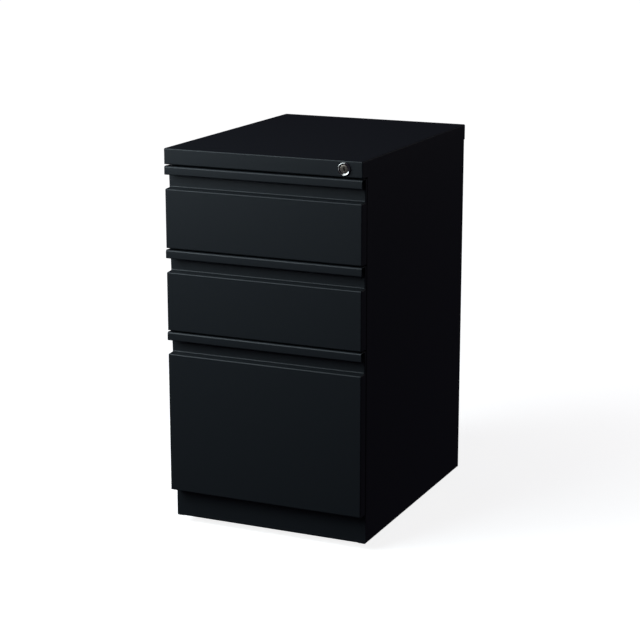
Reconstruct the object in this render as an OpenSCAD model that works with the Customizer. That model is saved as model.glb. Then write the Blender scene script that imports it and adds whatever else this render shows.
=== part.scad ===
// Three-drawer mobile pedestal: two box drawers over one file drawer, in folded sheet steel.
// +Z up, the drawer fronts face -Y, origin on the floor under the middle of the bounding box.

/* [Cabinet] */
// Width over the top cap
cap_w = 381; // [375:1:390]
// Depth from the drawer fronts to the back of the top cap
cap_d = 506; // [500:1:512]
// Height from the floor to the top
overall_h = 705; // [700:1:710]
// Height of the skirt folded down all round the top cap
skirt_h = 29; // [28:1:32]
// Gap between the floor and the lower edge of the case
floor_gap = 15; // [12:1:18]
// Thickness of the folded sheet
sheet = 1; // [0.8:0.1:1.2]
// How far the drawer fronts stand forward of the case
overlay = 24; // [23:0.5:25]

/* [Drawers] */
// Gap between neighbouring drawer fronts
reveal = 3.5; // [2.5:0.5:4]
// Height of each box drawer's front
box_front_h = 147.5; // [145:0.5:148]
// Height of a box drawer's sides
box_side_h = 105; // [90:1:105]
// Height of the file drawer's sides
file_side_h = 245; // [235:1:248]

/* [Drawer pull] */
// Height of the lip that the fingers close on
lip_h = 14; // [12:0.5:15]
// Height from the top of the lip to the top edge of the flat panel
pull_h = 40; // [37:0.5:41]
// Depth of the finger recess behind the panel
recess_d = 16; // [14:0.5:17]
// Rise of the ledge from the panel to the back of the recess
ledge_rise = 1; // [0:0.5:3]

/* [Lock] */
// Distance of the lock's centre from the middle of the cabinet
lock_x = 156.5; // [150:0.5:158]
// Diameter of the lock's face ring
lock_face_d = 23.5; // [20:0.5:24]
// How far the lock's face stands proud of the cap
lock_proud = 3; // [2:0.5:4]

/* [Casters] */
// Diameter of the wheels
wheel_d = 50; // [48:1:50]
// Distance of each swivel axis from the case's sides, front and back
caster_inset = 62; // [61:1:70]
// Distance from the swivel axis back to the axle
caster_trail = 18; // [16:1:18]

/* [Hidden] */

// Colours
paint = [0.02, 0.022, 0.027];
zinc = [0.62, 0.64, 0.66];
chrome_grey = [0.75, 0.75, 0.76];
rubber = [0.03, 0.03, 0.03];
cast = [0.2, 0.2, 0.2];

round_fn = 48;
clear = 0.3;                               // clearance between parts that pass each other
running_fit = 0.05;                        // radial clearance of pins, axles and the lock plug

// Depth places, from the drawer fronts (front_y) to the back of the cap (cap_back_y)
overall_d = cap_d + lock_proud;
front_y = -overall_d / 2 + lock_proud;
cap_back_y = overall_d / 2;
case_front_y = front_y + overlay;
cap_back_gap = 1.5;
case_back_y = cap_back_y - sheet - cap_back_gap;
case_w = cap_w - 2 * sheet;
wall_x = case_w / 2 - sheet;               // inner face of a side panel
cap_bottom_z = overall_h - skirt_h;

// Drawer fronts: lower edge and height of each, from the top drawer down
front_top_z = cap_bottom_z - reveal;
front_bottoms = [
    front_top_z - box_front_h,
    front_top_z - 2 * box_front_h - reveal,
    71.5
];
front_heights = [box_front_h, box_front_h, front_bottoms[1] - reveal - front_bottoms[2]];
side_heights = [box_side_h, box_side_h, file_side_h];
front_w = case_w;
front_pan_d = 20;                          // depth of the folded drawer front
inner_front_y = front_y + front_pan_d;
body_y0 = inner_front_y + sheet;
body_y1 = 231;
body_lift = 8;                             // drawer bottom above the lower edge of its front

// Folded flanges of the case
flange = 14;                               // width of the side panels' folded flanges
kick_top_z = front_bottoms[2] - 0.5;

// Base pan, which carries the casters
pan_z = 66;
pan_lip = 8;

weight_t = 12;                             // thickness of the counterweight

// Uprights that carry the slides
upright_d = 14;
upright_w = 25;
upright_t = 1.2;
front_upright_y = -212;
rear_upright_y = 205;
upright_top_z = overall_h - 15;
mount_x = wall_x - upright_d;              // face that the slides are fixed to

// Ball-bearing slides: half-heights and places across their thickness
slide_l = 450;
slide_y = -214;
drawer_member_y = -226;
slide_t = 1.2;
slide_gap = 12.7;
body_w = 2 * (mount_x - slide_gap);
outer_half = 22.7;
middle_half = 17.2;
inner_half = 11.7;
ball_d = 4.1;
cage_l = 200;
cage_y = -100;
balls_per_row = 6;
slide_rise = [35, 35, 92];                 // slide centre above the drawer bottom
hook_w = 3;
hook_d = 4;
hook_h = 8;
hook_rise = 14;                            // hooks above and below the slide centre

// Lock and its bar
lock_z = overall_h - skirt_h / 2;
barrel_d = 18.4;
plug_d = 15;
barrel_y1 = front_y + 22;
cam_y = barrel_y1 + 1;
cam_t = 2;
pin_r = 5;
pin_d = 3;
bar_y = case_front_y + 5.5;
bar_t = 2;
bar_x0 = 177;
bar_x1 = 187;
catch_rise = [82, 82, 190];                // catch above the drawer bottom
catch_x0 = 167;
catch_x1 = 174;

// Casters
caster_x = case_w / 2 - caster_inset;
caster_ys = [case_front_y + caster_inset, case_back_y - caster_inset];
wheel_w = 20;
axle_r = 3;
plate_t = 2.5;
plate_hole = 20;
boss_bottom_z = 58.5;
kingpin_bottom_z = 50.5;
kingpin_r = 4;

function drawer_bottom(i) = front_bottoms[i] + body_lift;
function slide_z(i) = drawer_bottom(i) + slide_rise[i];
function catch_z(i) = drawer_bottom(i) + catch_rise[i];

// A block given by its lowest and highest corners
module block(a, b) {
    translate(a) cube(b - a);
}

// The same shape on the right and, mirrored, on the left
module both_sides() {
    children();
    mirror([1, 0, 0]) children();
}

// A profile drawn in (depth, height), carried across the width from x0 to x1
module across(x0, x1) {
    translate([x0, 0, 0]) rotate([90, 0, 90]) linear_extrude(x1 - x0) children();
}

// ---- Case ----

module top_cap() {
    color(paint) difference() {
        union() {
            block([-cap_w / 2, front_y, overall_h - sheet], [cap_w / 2, cap_back_y, overall_h]);
            block([-cap_w / 2, front_y, cap_bottom_z], [cap_w / 2, front_y + sheet, overall_h]);
            block([-cap_w / 2, cap_back_y - sheet, cap_bottom_z],
                  [cap_w / 2, cap_back_y, overall_h]);
            both_sides()
                block([cap_w / 2 - sheet, front_y, cap_bottom_z], [cap_w / 2, cap_back_y, overall_h]);
            // return flange that closes the overhang from below
            block([-cap_w / 2, front_y, cap_bottom_z],
                  [cap_w / 2, front_y + front_pan_d, cap_bottom_z + sheet]);
        }
        translate([lock_x, front_y - 1, lock_z]) rotate([-90, 0, 0])
            cylinder(h = 3, d = barrel_d + 0.6, $fn = round_fn);
    }
}

// Right-hand side panel with its front, rear, top and bottom flanges
module side_panel() {
    y1 = case_back_y - sheet;
    z1 = overall_h - sheet;
    x1 = case_w / 2;
    block([wall_x, case_front_y, floor_gap], [x1, y1, z1]);
    block([x1 - flange, case_front_y, front_bottoms[2]], [x1, case_front_y + sheet, z1]);
    block([x1 - flange, y1 - sheet, floor_gap], [x1, y1, z1]);
    block([x1 - flange, case_front_y + sheet, floor_gap], [x1, y1, floor_gap + sheet]);
    block([x1 - flange, case_front_y, z1 - sheet], [x1, y1, z1]);
}

module side_panel_right() {
    color(paint) side_panel();
}

module side_panel_left() {
    color(paint) mirror([1, 0, 0]) side_panel();
}

module back_panel() {
    color(paint)
        block([-case_w / 2, case_back_y - sheet, floor_gap], [case_w / 2, case_back_y, overall_h - sheet]);
}

module kick_plate() {
    lip = 12;
    color(paint) {
        block([-wall_x, case_front_y, floor_gap], [wall_x, case_front_y + sheet, kick_top_z]);
        block([-wall_x, case_front_y, kick_top_z - sheet], [wall_x, case_front_y + lip, kick_top_z]);
        block([flange - case_w / 2, case_front_y, floor_gap],
              [case_w / 2 - flange, case_front_y + lip, floor_gap + sheet]);
    }
}

module base_pan() {
    y0 = case_front_y + sheet;
    y1 = case_back_y - 2 * sheet;
    color(paint) {
        block([-wall_x, y0, pan_z], [wall_x, y1, pan_z + sheet]);
        both_sides()
            block([wall_x - sheet, y0 + 14, pan_z], [wall_x, y1, pan_z + pan_lip]);
    }
}

// One upright: a channel with its web towards the drawers, slotted for the hooks of the slides
module upright(y0) {
    z0 = pan_z + pan_lip + 1;
    y_mid = y0 + upright_w / 2;
    difference() {
        block([mount_x, y0, z0], [wall_x, y0 + upright_w, upright_top_z]);
        block([mount_x + upright_t, y0 + upright_t, z0 - 1],
              [wall_x + 1, y0 + upright_w - upright_t, upright_top_z + 1]);
        for (i = [0 : 2], s = [-1, 1])
            translate([mount_x, y_mid, slide_z(i) + s * hook_rise])
                cube([3 * upright_t, hook_w + 0.4, hook_h + 2], center = true);
    }
}

module front_uprights() {
    color(zinc) both_sides() upright(front_upright_y);
}

module rear_uprights() {
    color(zinc) both_sides() upright(rear_upright_y);
}

// Channels across the case behind the gaps between the fronts
module front_cross_rails() {
    rail_h = 15;
    rail_d = 14;
    x = case_w / 2 - flange;
    color(paint) for (i = [0, 1]) {
        z = front_bottoms[i] - 4 - rail_h;
        difference() {
            block([-x, case_front_y + sheet, z], [x, case_front_y + sheet + rail_d, z + rail_h]);
            block([-x - 1, case_front_y + 2 * sheet, z + sheet],
                  [x + 1, case_front_y + rail_d + 2, z + rail_h - sheet]);
        }
    }
}

module at_weight_bolts() {
    for (x = [-125, 125], z = [110, 290]) translate([x, 0, z]) children();
}

module counterweight() {
    y0 = case_back_y - sheet - weight_t;
    color(cast) difference() {
        block([-150, y0, 90], [150, case_back_y - sheet, 310]);
        at_weight_bolts() translate([0, y0 - 1, 0]) rotate([-90, 0, 0])
            cylinder(h = weight_t + 2, d = 7, $fn = round_fn);
    }
}

// Round-headed bolts that hold the counterweight to the back panel
module counterweight_bolts() {
    head_t = 1.5;
    color(zinc) at_weight_bolts() translate([0, case_back_y - sheet - weight_t - head_t, 0])
        rotate([-90, 0, 0]) {
            cylinder(h = head_t, d = 13, $fn = round_fn);
            cylinder(h = head_t + weight_t, d = 6.4, $fn = round_fn);
        }
}

// Rubber pads between the case and the back of each drawer front
module drawer_bumpers() {
    pad_d = 9;
    y0 = body_y0 + 0.1;
    color(rubber) for (i = [0 : 2]) both_sides()
        translate([case_w / 2 - 7, y0, front_bottoms[i] + front_heights[i] - 20]) rotate([-90, 0, 0])
            cylinder(h = case_front_y - y0, d = pad_d, $fn = round_fn);
}

// ---- Drawers ----

// Section of a drawer front in (depth, height): bottom flange, panel, ledge, recess and hemmed lip
module front_section(h) {
    t = sheet;
    panel_top = h - pull_h;
    ledge_back = panel_top + ledge_rise;
    hem = 2 * t;
    polygon([
        [0, 0], [front_pan_d, 0], [front_pan_d, t], [t, t],
        [t, panel_top - t], [recess_d + t, ledge_back - t],
        [recess_d + t, h], [0, h], [0, h - lip_h], [hem, h - lip_h], [hem, h - lip_h + 6],
        [t, h - lip_h + 6], [t, h - t], [recess_d, h - t],
        [recess_d, ledge_back], [0, panel_top]
    ]);
}

// Side flange of a drawer front, cut back round the finger recess
module front_side_flange(h) {
    panel_top = h - pull_h;
    polygon([
        [0, 0], [front_pan_d, 0], [front_pan_d, h], [recess_d, h],
        [recess_d, panel_top + ledge_rise], [0, panel_top]
    ]);
}

module drawer_front(i) {
    h = front_heights[i];
    color(paint) translate([0, front_y, front_bottoms[i]]) {
        across(-front_w / 2, front_w / 2) front_section(h);
        both_sides() across(front_w / 2 - sheet, front_w / 2) front_side_flange(h);
    }
}

module inner_front(i) {
    h = front_heights[i];
    z = front_bottoms[i];
    return_h = 8;
    color(paint) {
        block([-front_w / 2, inner_front_y, z], [front_w / 2, body_y0, z + h]);
        // upper flange that closes the top of the front behind the recess
        block([-front_w / 2 + sheet, front_y + recess_d + sheet, z + h - return_h],
              [front_w / 2 - sheet, front_y + recess_d + 2 * sheet, z + h]);
        block([-front_w / 2 + sheet, front_y + recess_d + sheet, z + h - sheet],
              [front_w / 2 - sheet, inner_front_y, z + h]);
    }
}

// Bottom and sides folded from one sheet, with the top edges rolled inwards
module drawer_body(i) {
    z = drawer_bottom(i);
    h = side_heights[i];
    x = body_w / 2;
    hem = 5;
    color(paint) {
        block([-x, body_y0, z], [x, body_y1, z + sheet]);
        both_sides() {
            block([x - sheet, body_y0, z], [x, body_y1, z + h]);
            block([x - hem, body_y0, z + h - sheet], [x, body_y1, z + h]);
            block([x - hem, body_y0, z + h - 4], [x - hem + sheet, body_y1, z + h]);
        }
    }
}

module drawer_back(i) {
    z = drawer_bottom(i);
    h = side_heights[i];
    x = body_w / 2;
    color(paint) {
        block([-x, body_y1, z], [x, body_y1 + sheet, z + h - 6]);
        block([-x + 8, body_y1 - 8, z + h - 6 - sheet], [x - 8, body_y1 + sheet, z + h - 6]);
    }
}

// Strips on the file drawer's sides that the hooks of hanging folders ride on
module hanging_rails() {
    z = drawer_bottom(2) + side_heights[2];
    x = body_w / 2;
    color(zinc) both_sides() {
        block([x - 6.5, body_y0 + 4, z], [x - 0.5, body_y1 - 12, z + 1.2]);
        block([x - 6.5, body_y0 + 4, z], [x - 5.3, body_y1 - 12, z + 9]);
    }
}

// ---- Slides ----

// A channel of the slide on the right-hand side, with its web between u0 and u0 + slide_t
module slide_channel(i, y0, web, tip, half) {
    z = slide_z(i);
    x_web = mount_x - web;
    x_tip = mount_x - tip;
    side = x_web > x_tip ? -1 : 1;
    block([min(x_web, x_web + side * slide_t), y0, z - half],
          [max(x_web, x_web + side * slide_t), y0 + slide_l, z + half]);
    for (s = [-1, 1])
        block([min(x_web, x_tip), y0, z + s * half - (s > 0 ? slide_t : 0)],
              [max(x_web, x_tip), y0 + slide_l, z + s * half + (s > 0 ? 0 : slide_t)]);
}

// Case members, each with four hooks that drop into the uprights' slots
module slide_case_members(i) {
    color(zinc) both_sides() {
        slide_channel(i, slide_y, 0, 10, outer_half);
        for (y = [front_upright_y, rear_upright_y], s = [-1, 1])
            translate([mount_x + hook_d / 2 - 0.5, y + upright_w / 2, slide_z(i) + s * hook_rise])
                cube([hook_d + 1, hook_w, hook_h], center = true);
    }
}

module slide_middle_members(i) {
    color(zinc) both_sides() slide_channel(i, slide_y, 2.2, 10.5, middle_half);
}

module slide_drawer_members(i) {
    color(zinc) both_sides() slide_channel(i, drawer_member_y, slide_gap, 4.4, inner_half);
}

// A thin cage with two rows of balls. web_u is its web's place, row_z the balls' distance from the centre.
module ball_cage(i, web_u, tip_u, row_z) {
    z = slide_z(i);
    t = 0.6;
    ball_u = (web_u + tip_u) / 2 + 0.8;
    pitch = cage_l / balls_per_row;
    block([mount_x - web_u - t, cage_y, z - row_z - t / 2],
          [mount_x - web_u, cage_y + cage_l, z + row_z + t / 2]);
    for (s = [-1, 1]) {
        block([mount_x - tip_u, cage_y, z + s * row_z - t / 2],
              [mount_x - web_u, cage_y + cage_l, z + s * row_z + t / 2]);
        for (k = [0 : balls_per_row - 1])
            translate([mount_x - ball_u, cage_y + (k + 0.5) * pitch, z + s * row_z])
                sphere(d = ball_d, $fn = 24);
    }
}

module outer_ball_cages(i) {
    color(chrome_grey) both_sides() ball_cage(i, 1.4, 8.6, (outer_half - slide_t + middle_half) / 2);
}

module inner_ball_cages(i) {
    color(chrome_grey) both_sides() ball_cage(i, 3.6, 10.2, (middle_half - slide_t + inner_half) / 2);
}

// ---- Lock ----

// A cylinder lying front to back on the lock's axis, from y0 to y1
module lock_cylinder(y0, y1, d, fn = round_fn) {
    translate([lock_x, y0, lock_z]) rotate([-90, 0, 0]) cylinder(h = y1 - y0, d = d, $fn = fn);
}

module lock_housing() {
    color(chrome_grey) difference() {
        union() {
            lock_cylinder(front_y - lock_proud, front_y, lock_face_d);
            lock_cylinder(front_y - 0.01, barrel_y1, barrel_d);
        }
        lock_cylinder(front_y - lock_proud - 1, barrel_y1 + 1, plug_d);
    }
}

module lock_nut() {
    color(zinc) difference() {
        lock_cylinder(front_y + sheet, front_y + sheet + 5, 25, 6);
        lock_cylinder(front_y, front_y + 10, barrel_d + 0.1);
    }
}

module lock_plug() {
    key_w = 2;
    key_h = 7.6;
    key_depth = 17;
    y0 = front_y - lock_proud + 0.6;
    color(chrome_grey) difference() {
        union() {
            lock_cylinder(y0, cam_y, plug_d - 2 * running_fit);
            lock_cylinder(cam_y, cam_y + cam_t, 6);
        }
        block([lock_x - key_w / 2, y0 - 1, lock_z - key_h / 2],
              [lock_x + key_w / 2, y0 + key_depth, lock_z + key_h / 2]);
    }
}

// Cam plate with the pin that lifts the lock bar
module lock_cam() {
    pin_x = lock_x - pin_r * cos(45);
    pin_z = lock_z - pin_r * sin(45);
    color(zinc) difference() {
        union() {
            lock_cylinder(cam_y, cam_y + cam_t, 16);
            translate([pin_x, cam_y, pin_z]) rotate([-90, 0, 0])
                cylinder(h = bar_y + bar_t + 1 - cam_y, d = pin_d, $fn = round_fn);
        }
        lock_cylinder(cam_y - 1, cam_y + cam_t + 1, 6);
    }
}

// Strip beside the drawers with an arm to the cam and one finger for each drawer
module lock_bar() {
    arm_h = 14;
    slot_l = 7;
    slot_h = pin_d + 0.9;                  // room for the pin's path to leave the straight line
    pin_z = lock_z - pin_r * sin(45);
    arm_x0 = lock_x - pin_r - 5.5;
    finger_h = 8;
    color(zinc) difference() {
        union() {
            block([bar_x0, bar_y, catch_z(2) - 60], [bar_x1, bar_y + bar_t, pin_z + arm_h / 2]);
            block([arm_x0, bar_y, pin_z - arm_h / 2], [bar_x1, bar_y + bar_t, pin_z + arm_h / 2]);
            for (i = [0 : 2])
                block([catch_x0 + 1, bar_y, catch_z(i) - 8 - finger_h],
                      [bar_x1, bar_y + bar_t, catch_z(i) - 8]);
        }
        block([arm_x0 + 2.5, bar_y - 1, pin_z - slot_h / 2],
              [arm_x0 + 2.5 + slot_l, bar_y + bar_t + 1, pin_z + slot_h / 2]);
    }
}

// Clips on the side panel that the bar slides in
module lock_bar_guides() {
    t = 1.2;
    h = 12;
    color(zinc) for (z = [300, 484, 632]) difference() {
        block([bar_x0 - clear - t, bar_y - clear - t, z], [wall_x, bar_y + bar_t + clear + t, z + h]);
        block([bar_x0 - clear, bar_y - clear, z - 1], [bar_x1 + clear, bar_y + bar_t + clear, z + h + 1]);
    }
}

// Bracket on the back of a drawer front, with a lip for the bar's finger to stand in front of
module lock_catch(i) {
    z = catch_z(i);
    t = 1.5;
    lip_y = bar_y + bar_t + 2.5;
    color(zinc) {
        block([catch_x0, body_y0, z - 12], [catch_x1, body_y0 + t, z + 8]);
        block([catch_x0, body_y0, z], [catch_x1, lip_y + t, z + t]);
        block([catch_x0, lip_y, z - 6], [catch_x1, lip_y + t, z + t]);
    }
}

// ---- Casters ----

// The same shape at each of the four swivel axes
module at_casters() {
    for (x = [-caster_x, caster_x], y = caster_ys) translate([x, y, 0]) children();
}

// The same shape at each of a caster plate's four bolt holes
module at_plate_holes() {
    for (sx = [-1, 1], sy = [-1, 1]) translate([sx * plate_hole, sy * plate_hole, 0]) children();
}

// Top plates, each with the ball race's boss and the kingpin that the fork turns on
module caster_plates() {
    half = 27;
    plate_z = pan_z - plate_t;
    head_t = 2;
    color(zinc) at_casters() difference() {
        union() {
            block([-half, -half, plate_z], [half, half, pan_z]);
            translate([0, 0, boss_bottom_z])
                cylinder(h = plate_z - boss_bottom_z, r = 16, $fn = round_fn);
            translate([0, 0, kingpin_bottom_z])
                cylinder(h = plate_z - kingpin_bottom_z, r = kingpin_r, $fn = round_fn);
            translate([0, 0, kingpin_bottom_z]) cylinder(h = head_t, r = 6.5, $fn = round_fn);
        }
        at_plate_holes() translate([0, 0, plate_z - 1])
            cylinder(h = plate_t + 2, d = 5.4, $fn = round_fn);
    }
}

module caster_bolts() {
    head_t = 3;
    plate_z = pan_z - plate_t;
    color(zinc) at_casters() at_plate_holes() {
        translate([0, 0, plate_z - head_t]) cylinder(h = head_t, d = 9, $fn = 6);
        translate([0, 0, plate_z - 0.1]) cylinder(h = plate_t + 0.1, d = 5, $fn = round_fn);
    }
}

// Swivelling fork with the wheel's axle riveted across it
module caster_fork() {
    leg_x = wheel_w / 2 + 1.5;
    leg_t = 2;
    top_z = boss_bottom_z - 0.5;
    axle_z = wheel_d / 2;
    axle_x = leg_x + leg_t + 0.2;
    cap_t = 1.6;
    color(zinc) {
        difference() {
            union() {
                translate([0, 0, top_z - plate_t]) cylinder(h = plate_t, r = 15.5, $fn = round_fn);
                both_sides() {
                    across(leg_x, leg_x + leg_t)
                        polygon([[-9, top_z], [9, top_z], [caster_trail + 6.5, axle_z + 2.5],
                                 [caster_trail - 6.5, axle_z - 2.5]]);
                    along_axle(leg_x, leg_x + leg_t, 7);
                }
            }
            translate([0, 0, top_z - plate_t - 1])
                cylinder(h = plate_t + 2, r = kingpin_r + running_fit, $fn = round_fn);
            along_axle(-axle_x, axle_x, axle_r + 0.1);
        }
        along_axle(-axle_x, axle_x, axle_r);
        both_sides() along_axle(axle_x - 0.1, axle_x + cap_t, 4.6);
    }
}

// A cylinder on the wheel's axle, from x0 to x1
module along_axle(x0, x1, r) {
    translate([x0, caster_trail, wheel_d / 2]) rotate([0, 90, 0])
        cylinder(h = x1 - x0, r = r, $fn = round_fn);
}

module caster_wheel() {
    edge = 2.5;
    color(rubber) translate([0, caster_trail, wheel_d / 2]) rotate([0, 90, 0]) difference() {
        rotate_extrude($fn = 96) polygon([
            [0, -wheel_w / 2], [wheel_d / 2 - edge, -wheel_w / 2], [wheel_d / 2, -wheel_w / 2 + edge],
            [wheel_d / 2, wheel_w / 2 - edge], [wheel_d / 2 - edge, wheel_w / 2], [0, wheel_w / 2]
        ]);
        translate([0, 0, -wheel_w]) cylinder(h = 2 * wheel_w, r = axle_r + running_fit, $fn = round_fn);
    }
}

module at_caster(side, end) {
    translate([side * caster_x, caster_ys[end], 0]) children();
}

// ---- Nodes ----

top_cap();
side_panel_left();
side_panel_right();
back_panel();
kick_plate();
base_pan();
front_uprights();
rear_uprights();
front_cross_rails();
counterweight();
drawer_bumpers();
counterweight_bolts();
drawer_front(0);  // drawer_front_top
drawer_front(1);  // drawer_front_middle
drawer_front(2);  // drawer_front_file
inner_front(0);  // inner_front_top
inner_front(1);  // inner_front_middle
inner_front(2);  // inner_front_file
drawer_body(0);  // drawer_body_top
drawer_body(1);  // drawer_body_middle
drawer_body(2);  // drawer_body_file
drawer_back(0);  // drawer_back_top
drawer_back(1);  // drawer_back_middle
drawer_back(2);  // drawer_back_file
hanging_rails();
slide_case_members(0);  // slide_case_members_top
slide_case_members(1);  // slide_case_members_middle
slide_case_members(2);  // slide_case_members_file
slide_middle_members(0);  // slide_middle_members_top
slide_middle_members(1);  // slide_middle_members_middle
slide_middle_members(2);  // slide_middle_members_file
slide_drawer_members(0);  // slide_drawer_members_top
slide_drawer_members(1);  // slide_drawer_members_middle
slide_drawer_members(2);  // slide_drawer_members_file
outer_ball_cages(0);  // outer_ball_cages_top
outer_ball_cages(1);  // outer_ball_cages_middle
outer_ball_cages(2);  // outer_ball_cages_file
inner_ball_cages(0);  // inner_ball_cages_top
inner_ball_cages(1);  // inner_ball_cages_middle
inner_ball_cages(2);  // inner_ball_cages_file
lock_housing();
lock_nut();
lock_plug();
lock_cam();
lock_bar();
lock_bar_guides();
lock_catch(0);  // lock_catch_top
lock_catch(1);  // lock_catch_middle
lock_catch(2);  // lock_catch_file
caster_plates();
caster_bolts();
at_caster(-1, 0) caster_fork();  // caster_fork_front_left
at_caster(1, 0) caster_fork();  // caster_fork_front_right
at_caster(-1, 1) caster_fork();  // caster_fork_rear_left
at_caster(1, 1) caster_fork();  // caster_fork_rear_right
at_caster(-1, 0) caster_wheel();  // caster_wheel_front_left
at_caster(1, 0) caster_wheel();  // caster_wheel_front_right
at_caster(-1, 1) caster_wheel();  // caster_wheel_rear_left
at_caster(1, 1) caster_wheel();  // caster_wheel_rear_right
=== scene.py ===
"""A three-drawer mobile pedestal in folded, powder-coated sheet steel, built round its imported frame."""

import math

import bmesh
import bpy
from bpy.props import FloatProperty, FloatVectorProperty, PointerProperty
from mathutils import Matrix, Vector


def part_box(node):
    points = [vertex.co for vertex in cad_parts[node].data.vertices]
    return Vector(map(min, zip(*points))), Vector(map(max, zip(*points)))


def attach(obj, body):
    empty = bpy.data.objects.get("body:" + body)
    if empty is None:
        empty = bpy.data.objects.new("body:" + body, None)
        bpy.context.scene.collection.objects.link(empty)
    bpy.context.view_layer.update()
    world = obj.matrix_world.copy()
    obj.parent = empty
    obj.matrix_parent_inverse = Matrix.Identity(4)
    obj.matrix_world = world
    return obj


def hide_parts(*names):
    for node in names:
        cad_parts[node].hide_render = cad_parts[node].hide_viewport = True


bl_info = {
    "name": "Drawer Pedestal",
    "version": (1, 0, 0),
    "blender": (4, 5, 0),
    "location": "View3D > Sidebar > Pedestal",
    "description": "Builds the shells, drawers, slides, lock and casters of a steel drawer pedestal",
    "category": "Object",
}

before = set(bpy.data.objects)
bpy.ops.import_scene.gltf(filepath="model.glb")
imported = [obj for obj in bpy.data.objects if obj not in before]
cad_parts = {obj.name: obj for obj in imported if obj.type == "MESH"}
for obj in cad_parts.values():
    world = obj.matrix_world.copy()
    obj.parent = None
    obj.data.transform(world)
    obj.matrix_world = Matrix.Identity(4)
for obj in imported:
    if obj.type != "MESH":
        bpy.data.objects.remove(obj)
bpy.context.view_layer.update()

DRAWERS = ("top", "middle", "file")
CORNERS = ("front_left", "front_right", "rear_left", "rear_right")
HAIR = 0.0001                       # places nearer than this count as the same

LOCK_HOLE_R = 0.0095                # the hole in the cap's skirt, round the lock's barrel
BARREL_R = 0.0092
BORE_R = 0.00755                    # the barrel's bore, which the plug turns in
PLUG_R = 0.00742


# ---- Settings ----


class CabinetSizes(bpy.types.PropertyGroup):
    sheet: FloatProperty(
        name="Sheet", description="Thickness of the folded steel", default=0.001, unit="LENGTH"
    )
    bend: FloatProperty(
        name="Bend", description="Outside radius of a folded edge", default=0.0022, unit="LENGTH"
    )
    small_bend: FloatProperty(
        name="Small bend", description="Outside radius of a narrow fold", default=0.0018, unit="LENGTH"
    )
    cut_edge: FloatProperty(
        name="Cut edge", description="Rounding left by the coat on a cut edge", default=0.00018, unit="LENGTH"
    )
    lip: FloatProperty(
        name="Lip", description="Height of the lip that the fingers close on", default=0.014, unit="LENGTH"
    )
    hem: FloatProperty(
        name="Hem", description="Thickness of the folded-back lip", default=0.0023, unit="LENGTH"
    )
    pull: FloatProperty(
        name="Pull", description="From the lip's top to the flat panel's edge", default=0.040, unit="LENGTH"
    )
    recess: FloatProperty(
        name="Recess", description="Depth of the finger recess", default=0.016, unit="LENGTH"
    )
    ledge: FloatProperty(
        name="Ledge", description="Rise of the ledge behind the panel's edge", default=0.001, unit="LENGTH"
    )


class CabinetColours(bpy.types.PropertyGroup):
    coat: FloatVectorProperty(
        name="Coat", description="Powder coat", subtype="COLOR", default=(0.0085, 0.0118, 0.0155)
    )
    zinc: FloatVectorProperty(
        name="Zinc", description="Zinc-plated steel", subtype="COLOR", default=(0.56, 0.57, 0.58)
    )
    nickel: FloatVectorProperty(
        name="Nickel", description="Lock's face ring", subtype="COLOR", default=(0.66, 0.62, 0.58)
    )
    core: FloatVectorProperty(
        name="Core", description="Lock's plug", subtype="COLOR", default=(0.36, 0.305, 0.26)
    )
    iron: FloatVectorProperty(
        name="Iron", description="Counterweight casting", subtype="COLOR", default=(0.045, 0.044, 0.043)
    )
    rubber: FloatVectorProperty(
        name="Rubber", description="Bumper pads", subtype="COLOR", default=(0.014, 0.014, 0.014)
    )
    nylon: FloatVectorProperty(
        name="Nylon", description="Caster wheels", subtype="COLOR", default=(0.018, 0.018, 0.019)
    )
    floor: FloatVectorProperty(
        name="Floor", description="Studio floor", subtype="COLOR", default=(0.92, 0.92, 0.92)
    )


# ---- Modelling by hand ----


def clear_selection():
    """Leaves edit mode with nothing selected."""
    if bpy.context.mode != "OBJECT":
        bpy.ops.object.mode_set(mode="OBJECT")
    bpy.ops.object.select_all(action="DESELECT")


def only(obj):
    """Makes one object the only selected and the active one."""
    clear_selection()
    obj.select_set(True)
    bpy.context.view_layer.objects.active = obj


def settle(name):
    """Names the active object and applies its place, turn and size to its mesh."""
    obj = bpy.context.object
    only(obj)
    bpy.ops.object.transform_apply(location=True, rotation=True, scale=True)
    obj.name = name
    obj.data.name = name
    return obj


def add_box(name, low, high):
    """A box between two corners."""
    clear_selection()
    low, high = Vector(low), Vector(high)
    bpy.ops.mesh.primitive_cube_add(size=1, location=(low + high) / 2)
    bpy.context.object.scale = high - low
    return settle(name)


def add_wall(name, low, high, facing):
    """A flat sheet between two corners of one plane, facing along an axis such as "-Y"."""
    clear_selection()
    low, high = Vector(low), Vector(high)
    turns = {"-Y": (math.pi / 2, 0, 0), "+Y": (-math.pi / 2, 0, 0), "-Z": (math.pi, 0, 0), "+Z": (0, 0, 0)}
    turns |= {"+X": (0, math.pi / 2, 0), "-X": (0, -math.pi / 2, 0)}
    bpy.ops.mesh.primitive_plane_add(size=1, location=(low + high) / 2, rotation=turns[facing])
    size = high - low
    across = {"X": (size.z, size.y, 1), "Y": (size.x, size.z, 1), "Z": (size.x, size.y, 1)}
    bpy.context.object.scale = across[facing[1]]
    return settle(name)


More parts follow.
